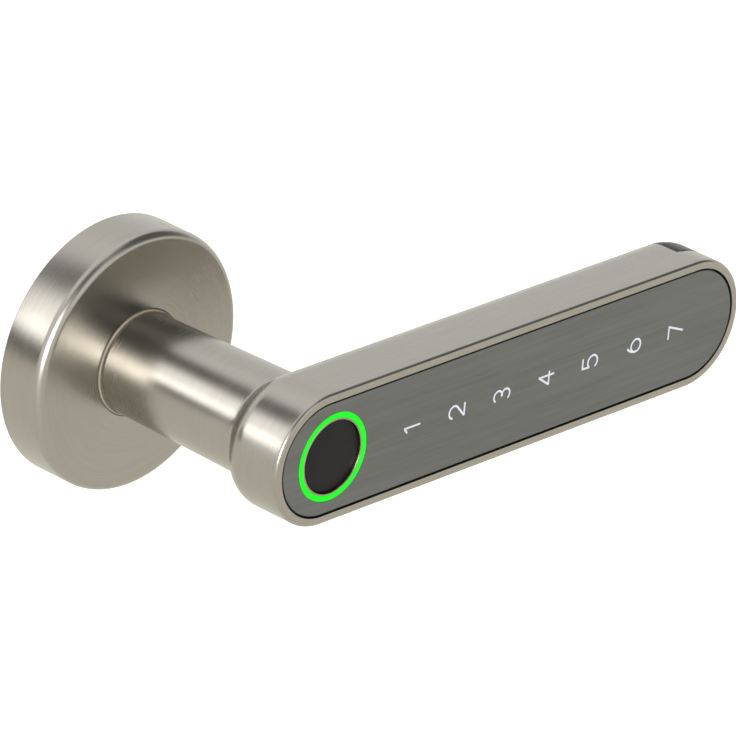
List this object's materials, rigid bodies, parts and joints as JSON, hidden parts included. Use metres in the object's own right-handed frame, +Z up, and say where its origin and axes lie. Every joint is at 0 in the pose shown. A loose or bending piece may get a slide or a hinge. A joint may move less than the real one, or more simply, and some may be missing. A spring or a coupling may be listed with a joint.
{
  "type": "keypad smart lock handle",
  "caption": "Door lever on a round rose with a touch keypad and a lit fingerprint reader in the lever; a motor clutch in the neck couples the lever to the square spindle.",
  "frame": {"origin": "on the spindle's axis, in the plane of the door's face, midway between the two fixing posts", "axes": "+X along the lever to its free end, +Y into the door along the spindle's axis, +Z up"},
  "size_m": [0.1595, 0.0767, 0.06],
  "materials": {
    "satin_nickel": "satin nickel plate, fine brushing",
    "zinc_casting": "as-cast grey zinc, slightly rough",
    "steel": "bright zinc-plated steel",
    "bush_plastic": "grey-brown bearing plastic",
    "face_metal": "dark grey brushed metal look under a hard clear coat",
    "lit_white": "clear inlay lit from behind, white",
    "clear_guide": "frosted clear acrylic",
    "frame_plastic": "black moulded plastic, fine texture",
    "board": "green solder mask",
    "copper_pad": "copper under clear mask",
    "led": "white LED package",
    "lit_green": "green ring lit from behind",
    "bezel_metal": "warm metallic bezel, polished",
    "sensor_glass": "black coated sensor face, semi-gloss",
    "chip": "black chip mouldings",
    "connector": "ivory connector plastic",
    "cell_wrap": "dark printed-free cell wrap",
    "contact": "nickel-plated spring contact",
    "magnet": "nickel-plated magnet",
    "holder_plastic": "natural white acetal",
    "motor_can": "drawn steel can",
    "wire": "red insulated wire",
    "cap_black": "black gloss moulded plastic",
    "seal": "black silicone",
    "brass": "turned brass"
  },
  "bodies": {
    "rose": {"rose_cover": "satin_nickel", "mounting_plate": "zinc_casting", "bearing_plate": "zinc_casting", "plate_screws": "steel", "neck_bush": "bush_plastic", "return_spring": "steel", "fixing_posts": "steel", "cover_grub_screw": "steel"},
    "lever": {"lever_body": "satin_nickel", "neck_circlip": "steel", "spring_carrier": "steel", "hub_ring": "steel", "face_panel": "face_metal", "digit_inlays": "lit_white", "panel_frame": "frame_plastic", "light_guide": "clear_guide", "keypad_board": "board", "touch_pads": "copper_pad", "backlight_leds": "led", "light_ring": "lit_green", "sensor_bezel": "bezel_metal", "fingerprint_sensor": "sensor_glass", "sensor_board": "board", "ring_leds": "led", "main_board": "board", "board_chips": "chip", "board_link": "connector", "battery_tray": "frame_plastic", "battery_cells": "cell_wrap", "contact_springs": "contact", "body_magnets": "magnet", "motor_holder": "holder_plastic", "motor": "motor_can", "motor_wires": "wire"},
    "battery_cap": {"battery_cap": "cap_black", "cap_contact_plate": "contact", "cap_seal": "seal", "cap_magnets": "magnet"},
    "lead_screw": {"lead_screw": "steel"},
    "clutch": {"clutch_slider": "brass"},
    "drive_hub": {"drive_hub": "steel"}
  },
  "joints": [
    {"name": "lever_turn", "type": "hinge", "parent": "rose", "child": "lever", "pos_m": [0, 0, 0], "axis": [0, 1, 0], "range_deg": [0, 45], "stiffness_Nm_per_rad": 0.8, "springref_deg": -34.38, "deforming": ["return_spring"]},
    {"name": "hub_turn", "type": "hinge", "parent": "rose", "child": "drive_hub", "pos_m": [0, 0, 0], "axis": [0, 1, 0], "range_deg": [0, 45]},
    {"name": "clutch_screw_turn", "type": "hinge", "parent": "lever", "child": "lead_screw", "pos_m": [0, 0, 0], "axis": [0, 1, 0], "range_deg": [0, 1080]},
    {"name": "clutch_slide", "type": "slide", "parent": "lever", "child": "clutch", "axis": [0, 1, 0], "range_m": [0, 0.003]},
    {"name": "battery_cap_slide", "type": "slide", "parent": "lever", "child": "battery_cap", "axis": [1, 0, 0], "range_m": [0, 0.025]}
  ],
  "couplings": [
    {"joint": "clutch_screw_turn", "follows": "clutch_slide", "rad_per_m": 6283.2}
  ]
}
